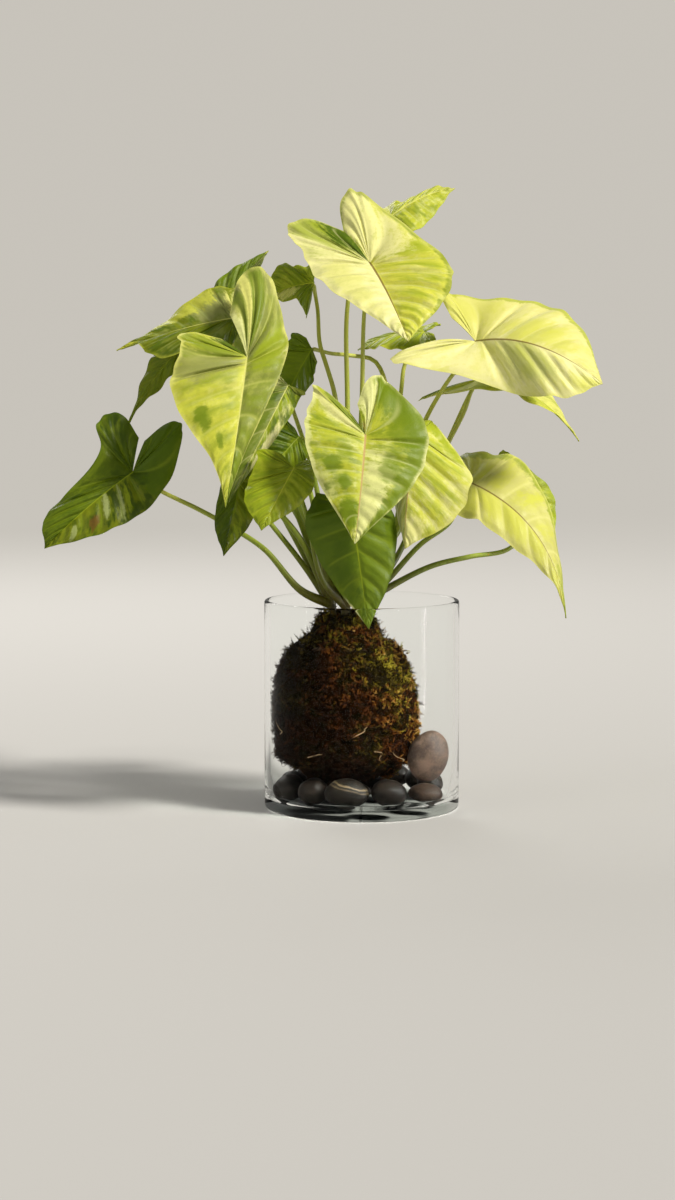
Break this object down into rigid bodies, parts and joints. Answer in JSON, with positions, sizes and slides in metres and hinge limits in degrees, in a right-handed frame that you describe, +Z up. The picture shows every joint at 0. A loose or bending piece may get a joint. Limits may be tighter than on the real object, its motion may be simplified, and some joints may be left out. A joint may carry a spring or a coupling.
{
  "type": "kokedama moss ball plant",
  "caption": "Arrowhead vine growing from a moss-wrapped ball of soil that stands on dark river pebbles in a clear glass cylinder.",
  "frame": {"origin": "centre of the vase's flat underside, where the part stands on a table", "axes": "+Z up along the vase; -Y towards the side that most leaves face; +X to the right seen from that side"},
  "size_m": [0.4188, 0.2688, 0.4801],
  "materials": {
    "leaf_lime": "satin lime and cream leaf with green veins",
    "leaf_green": "satin mid green leaf with paler veins",
    "leaf_dark_green": "satin dark green leaf",
    "stalk": "smooth fleshy stalk",
    "soil": "damp crumbly potting soil",
    "moss": "dry and living sheet moss, rough and tufted",
    "pebble": "matt dark grey river stone",
    "glass": "clear polished glass"
  },
  "bodies": {
    "root": {"leaf_top": "leaf_lime", "leaf_top_back": "leaf_lime", "leaf_right_high": "leaf_lime", "leaf_right_under": "leaf_lime", "leaf_front": "leaf_green", "leaf_right_mid": "leaf_lime", "leaf_right_low": "leaf_lime", "leaf_right_rear": "leaf_green", "leaf_left_broad": "leaf_lime", "leaf_left_high": "leaf_lime", "leaf_left_upright": "leaf_green", "leaf_left_low": "leaf_green", "leaf_left_hanging": "leaf_dark_green", "leaf_centre_left": "leaf_green", "leaf_low_left": "leaf_dark_green", "leaf_centre_dark": "leaf_dark_green", "leaf_centre_striped": "leaf_green", "leaf_low_front": "leaf_dark_green", "leaf_top_left": "leaf_dark_green", "leaf_centre_back": "leaf_dark_green", "leaf_centre_small": "leaf_dark_green", "leaf_back_left": "leaf_dark_green", "leaf_back_low": "leaf_dark_green", "leaf_back_right": "leaf_dark_green", "stem_left": "stalk", "stem_front": "stalk", "stem_right": "stalk", "stem_back": "stalk", "stem_far": "stalk", "glass_vase": "glass", "moss_wrap": "moss", "soil_ball": "soil", "pebble_leaning": "pebble", "pebble_banded": "pebble", "pebble_front_round": "pebble", "pebble_right_front": "pebble", "pebble_left_front": "pebble", "pebble_left_broad": "pebble", "pebble_under_left": "pebble", "pebble_under_right": "pebble", "pebble_under_front": "pebble", "pebble_under_back": "pebble", "pebble_back_1": "pebble", "pebble_back_2": "pebble", "pebble_back_3": "pebble", "pebble_back_4": "pebble", "pebble_back_5": "pebble", "pebble_back_6": "pebble", "pebble_back_7": "pebble"}
  },
  "joints": []
}
